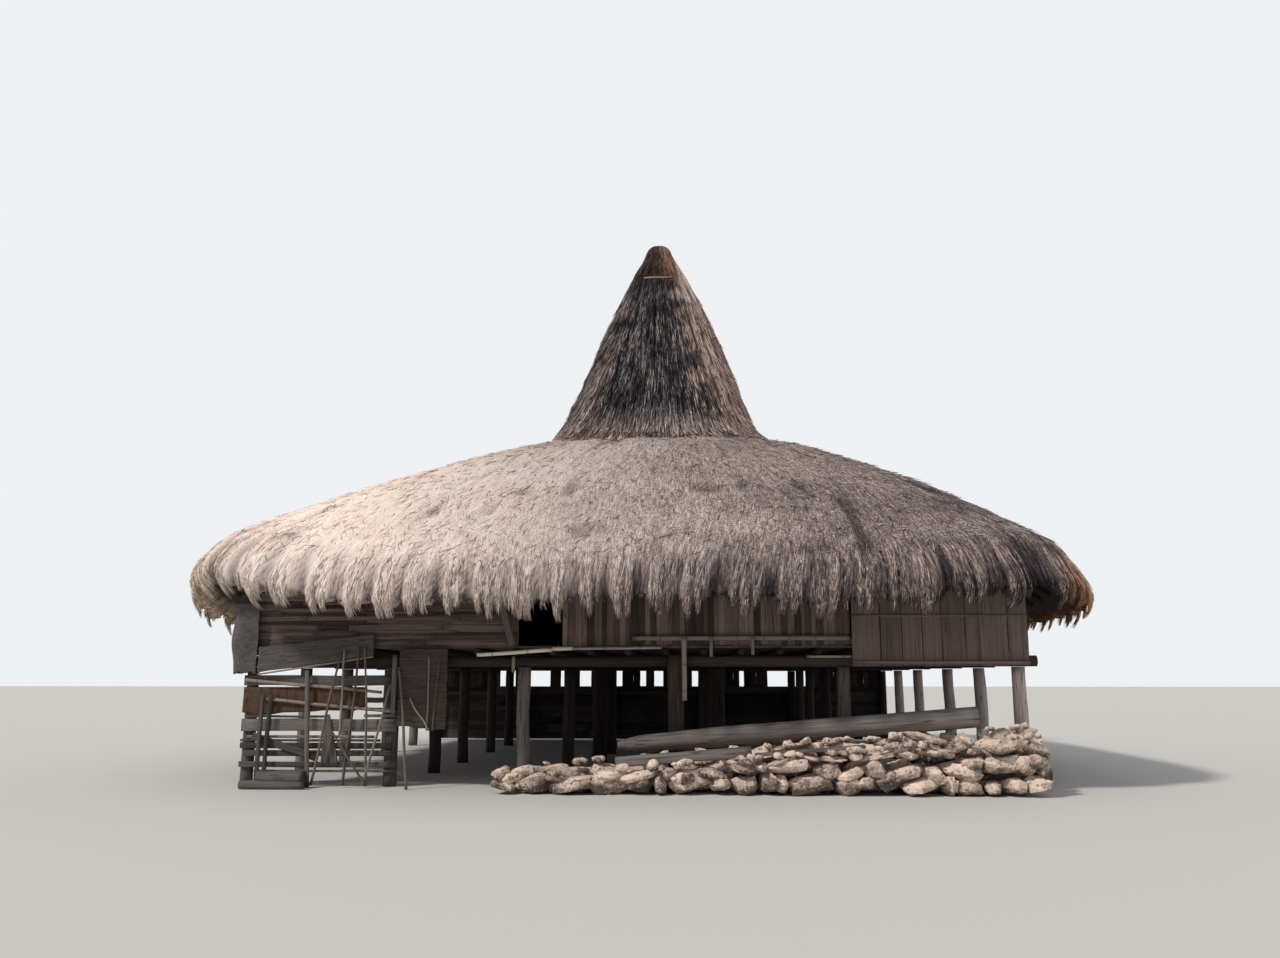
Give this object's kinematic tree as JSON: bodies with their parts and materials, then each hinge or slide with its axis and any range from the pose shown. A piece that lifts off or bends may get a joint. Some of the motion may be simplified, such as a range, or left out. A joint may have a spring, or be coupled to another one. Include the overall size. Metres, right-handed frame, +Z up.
{
  "type": "stilt house",
  "caption": "Square stilt house on timber posts, with board and bamboo walls, an open space below the floor and a deep thatched roof that rises to a tall spire.",
  "frame": {"origin": "on the ground under the middle of the eaves, level with the feet of the posts", "axes": "+Z up along the spire, -Y out through the front with the doorway, +X to the right of someone who faces the front"},
  "size_m": [14.2, 14.2, 10.2934],
  "materials": {
    "thatch": "dry weathered grass thatch, matt, grey on top and straw coloured where it is sheltered",
    "spire_thatch": "older dark grass thatch, matt, grey-brown with black streaks",
    "post": "weathered grey-brown round timber, matt, cracked along the grain",
    "beam": "weathered grey-brown pole, matt",
    "floor": "flattened bamboo boards, matt",
    "board": "weathered grey-brown boards of split bamboo, matt, dark seams",
    "bamboo": "dry bamboo pole, half matt, greyed",
    "pale_pole": "bleached bamboo pole, half matt",
    "mat": "woven split bamboo mat, matt, dusty grey-brown",
    "bark": "dark brown bark sheet, matt",
    "log": "weathered grey log, matt, cracked along the grain",
    "stone": "pale pitted limestone, matt"
  },
  "bodies": {
    "root": {"front_posts": "post", "back_posts": "post", "left_posts": "post", "right_posts": "post", "inner_posts": "post", "main_posts": "post", "floor_beams": "beam", "floor_joists": "beam", "floor_deck": "floor", "front_rail": "bamboo", "ledge_poles": "pale_pole", "front_wall_right": "board", "front_wall_middle": "board", "front_wall_left": "board", "back_wall": "board", "left_wall": "board", "right_wall": "board", "wall_studs": "post", "wall_plates": "beam", "front_rafters": "beam", "back_rafters": "beam", "left_rafters": "beam", "right_rafters": "beam", "hip_rafters": "beam", "rafter_ring": "beam", "spire_poles": "beam", "spire_ring": "beam", "front_thatch": "thatch", "back_thatch": "thatch", "left_thatch": "thatch", "right_thatch": "thatch", "spire_thatch": "spire_thatch", "spire_batten": "bamboo", "pen_planks": "board", "pen_rails": "bamboo", "pen_sticks": "bamboo", "bark_panel": "bark", "hanging_mat": "mat", "corner_mat": "mat", "hanging_flap": "mat", "leaning_pole": "bamboo", "under_floor_fence": "board", "stone_sill": "stone", "sill_log": "log", "sill_plank": "log"}
  },
  "joints": []
}
